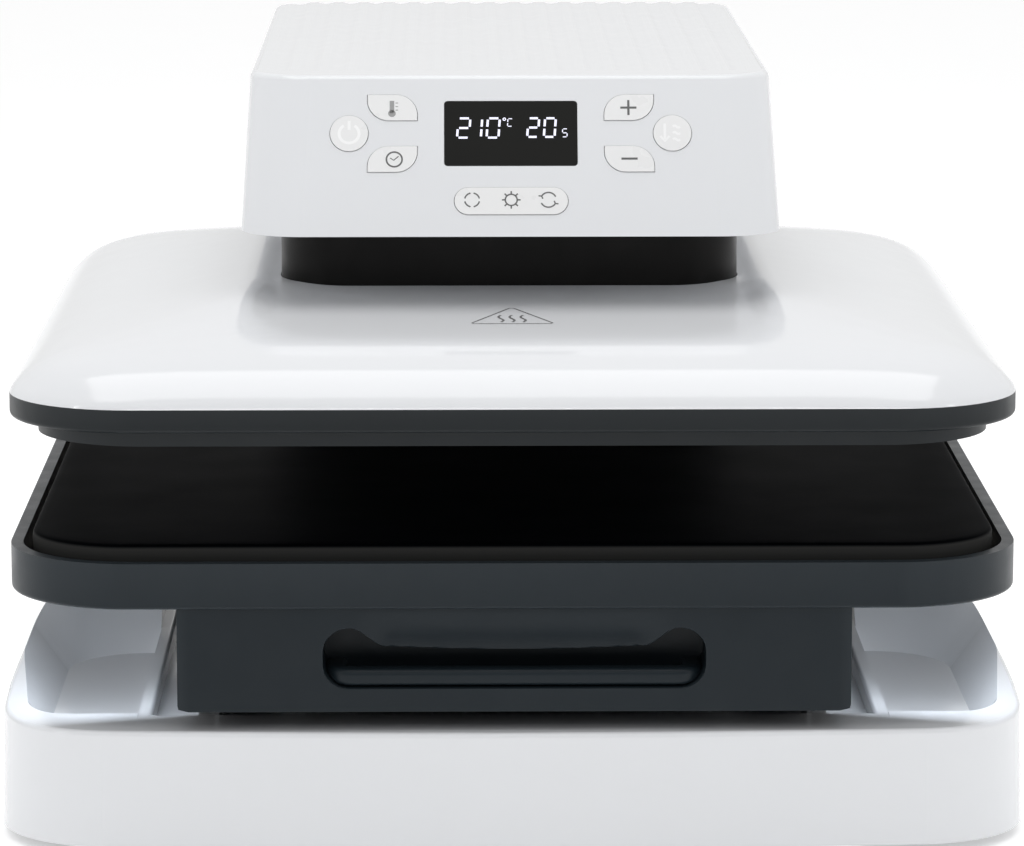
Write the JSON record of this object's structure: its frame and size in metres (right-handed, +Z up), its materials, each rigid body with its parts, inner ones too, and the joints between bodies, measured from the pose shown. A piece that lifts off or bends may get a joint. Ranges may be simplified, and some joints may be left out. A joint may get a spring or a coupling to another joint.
{
  "type": "heat press",
  "caption": "Drawer-type automatic heat press: white base and head, motor-driven heated lid, and a dark drawer tray with a heat pad.",
  "frame": {"origin": "on the resting plane under the feet, at the centre of the machine's footprint", "axes": "+Z up, +Y to the back, +X to the right seen from the front"},
  "size_m": [0.422, 0.504, 0.3045],
  "materials": {
    "shell_white": "glossy white moulded plastic",
    "button_white": "satin white keys",
    "rubber_black": "moulded rubber",
    "steel": "zinc-plated sheet and rod",
    "screw_steel": "plated screws",
    "black_plastic": "fine-textured black plastic",
    "trim_dark": "dark charcoal heat-proof plastic",
    "tray_dark": "blue-charcoal plastic, satin",
    "pad_black": "heat-proof foam pad with a smooth skin",
    "aluminium": "machined plate",
    "motor_paint": "satin paint",
    "brass": "turned brass",
    "heater_steel": "heat-tinted tube",
    "insulation": "pressed mineral fibre",
    "board_green": "coated circuit board",
    "component": "moulded components",
    "display_black": "tinted window"
  },
  "bodies": {
    "root": {"base_shell": "shell_white", "base_bottom_plate": "steel", "rubber_feet": "rubber_black", "feet_screws": "screw_steel", "slide_brackets": "steel", "outer_rails": "steel", "column_frame": "steel", "column_shell": "shell_white", "rear_cover": "shell_white", "cover_screws": "screw_steel", "mains_inlet": "black_plastic", "inlet_pins": "brass", "switch_frame": "black_plastic", "power_board": "board_green", "power_components": "component", "head_shell": "shell_white", "head_cover": "shell_white", "head_chassis": "steel", "guide_bushings": "steel", "gear_unit": "motor_paint", "motor": "motor_paint", "screw_bearing": "steel", "display_window": "display_black", "display_module": "black_plastic", "control_board": "board_green", "tactile_switches": "black_plastic", "buzzer": "black_plastic"},
    "drawer": {"drawer_front": "tray_dark", "drawer_handle": "tray_dark", "tray": "tray_dark", "insulation_board": "insulation", "pad_plate": "aluminium", "heat_pad": "pad_black", "slide_beams": "steel", "inner_rails": "steel", "drawer_screws": "screw_steel"},
    "middle_slides": {"middle_rails": "steel", "ball_cages": "black_plastic"},
    "lid": {"lid_shell": "shell_white", "lid_trim": "trim_dark", "platen_shroud": "trim_dark", "heat_platen": "aluminium", "heating_element": "heater_steel", "insulation_blanket": "insulation", "thermostat": "component", "carrier_plate": "steel", "platen_standoffs": "steel", "lift_yoke": "steel", "screw_nut": "brass", "guide_rods": "steel", "neck_shroud": "black_plastic"},
    "screw": {"lead_screw": "steel"},
    "rocker": {"rocker": "black_plastic"},
    "power_button": {"power_button": "button_white"},
    "start_button": {"start_button": "button_white"},
    "mode_button": {"mode_button": "button_white"},
    "temperature_button": {"temperature_button": "button_white"},
    "time_button": {"time_button": "button_white"},
    "plus_button": {"plus_button": "button_white"},
    "minus_button": {"minus_button": "button_white"}
  },
  "joints": [
    {"name": "drawer_slide", "type": "slide", "parent": "root", "child": "drawer", "axis": [0, -1, 0], "range_m": [0, 0.26]},
    {"name": "middle_slide", "type": "slide", "parent": "root", "child": "middle_slides", "axis": [0, -1, 0], "range_m": [0, 0.13]},
    {"name": "lid_press", "type": "slide", "parent": "root", "child": "lid", "axis": [0, 0, -1], "range_m": [0, 0.0395]},
    {"name": "screw_spin", "type": "hinge", "parent": "root", "child": "screw", "pos_m": [0, -0.042, 0.24], "axis": [0, 0, 1], "continuous": true},
    {"name": "rocker_tilt", "type": "hinge", "parent": "root", "child": "rocker", "pos_m": [0.028, 0.247, 0.106], "axis": [1, 0, 0], "range_deg": [0, 18]},
    {"name": "power_press", "type": "slide", "parent": "root", "child": "power_button", "axis": [0, 0.8834, -0.4686], "range_m": [0, 0.0008], "stiffness_N_per_m": 500, "springref_m": -0.001},
    {"name": "start_press", "type": "slide", "parent": "root", "child": "start_button", "axis": [0, 0.8834, -0.4686], "range_m": [0, 0.0008], "stiffness_N_per_m": 500, "springref_m": -0.001},
    {"name": "mode_press", "type": "slide", "parent": "root", "child": "mode_button", "axis": [0, 0.8834, -0.4686], "range_m": [0, 0.0008], "stiffness_N_per_m": 500, "springref_m": -0.001},
    {"name": "temperature_press", "type": "slide", "parent": "root", "child": "temperature_button", "axis": [0, 0.8834, -0.4686], "range_m": [0, 0.0008], "stiffness_N_per_m": 500, "springref_m": -0.001},
    {"name": "time_press", "type": "slide", "parent": "root", "child": "time_button", "axis": [0, 0.8834, -0.4686], "range_m": [0, 0.0008], "stiffness_N_per_m": 500, "springref_m": -0.001},
    {"name": "plus_press", "type": "slide", "parent": "root", "child": "plus_button", "axis": [0, 0.8834, -0.4686], "range_m": [0, 0.0008], "stiffness_N_per_m": 500, "springref_m": -0.001},
    {"name": "minus_press", "type": "slide", "parent": "root", "child": "minus_button", "axis": [0, 0.8834, -0.4686], "range_m": [0, 0.0008], "stiffness_N_per_m": 500, "springref_m": -0.001}
  ],
  "couplings": [
    {"joint": "middle_slide", "follows": "drawer_slide", "ratio": 0.5},
    {"joint": "screw_spin", "follows": "lid_press", "rad_per_m": 1256.6}
  ]
}
